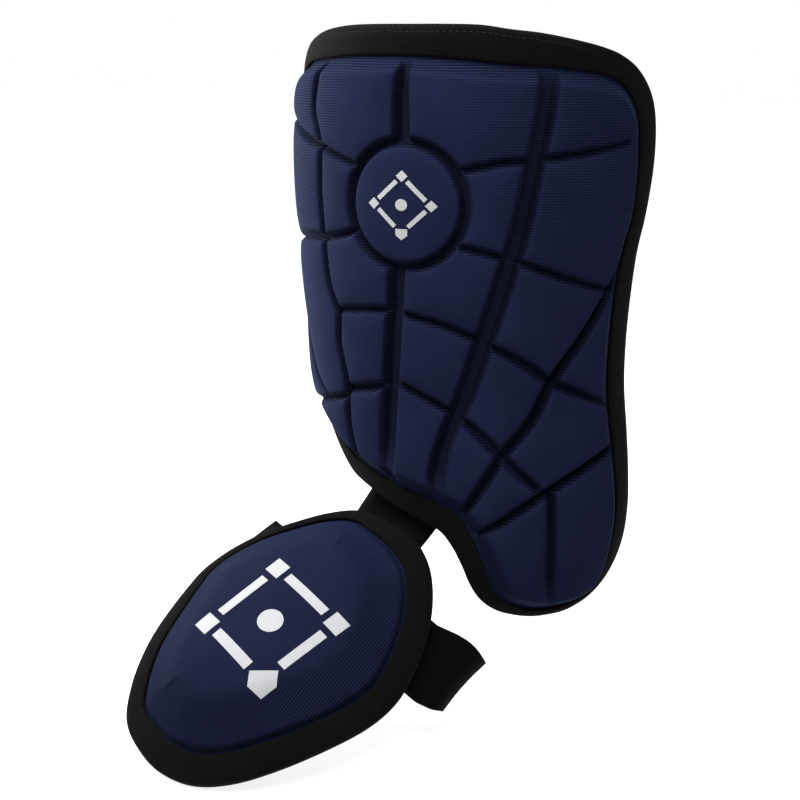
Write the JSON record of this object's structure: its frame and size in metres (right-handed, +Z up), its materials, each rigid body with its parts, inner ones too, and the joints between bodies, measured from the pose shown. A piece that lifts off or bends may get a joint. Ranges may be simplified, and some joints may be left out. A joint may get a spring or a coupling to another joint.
{
  "type": "batters leg guard",
  "caption": "Moulded batter's leg guard: a curved, grooved shin shell and a domed foot pad with cloth bindings, a short ankle strap, an under-foot elastic and calf straps.",
  "frame": {"origin": "inner face of the shin shell on its centre line, at the height where it sits on the front of the shin", "axes": "+Z up the shin towards the knee, -Y forwards out of the shell's front, +X towards the wearer's side that has the long ankle lobe"},
  "size_m": [0.1993, 0.216, 0.3447],
  "materials": {
    "navy_fabric": "finely ribbed knit bonded to moulded foam, matte with a soft sheen",
    "black_twill": "matte black twill tape",
    "black_elastic": "matte black woven elastic",
    "white_print": "matte white transfer print"
  },
  "bodies": {
    "root": {"shin_pad": "navy_fabric", "foot_pad": "navy_fabric", "shin_binding": "black_twill", "foot_binding": "black_twill", "ankle_link": "black_elastic", "foot_strap": "black_elastic", "calf_strap_upper": "black_elastic", "calf_strap_lower": "black_elastic"}
  },
  "joints": []
}
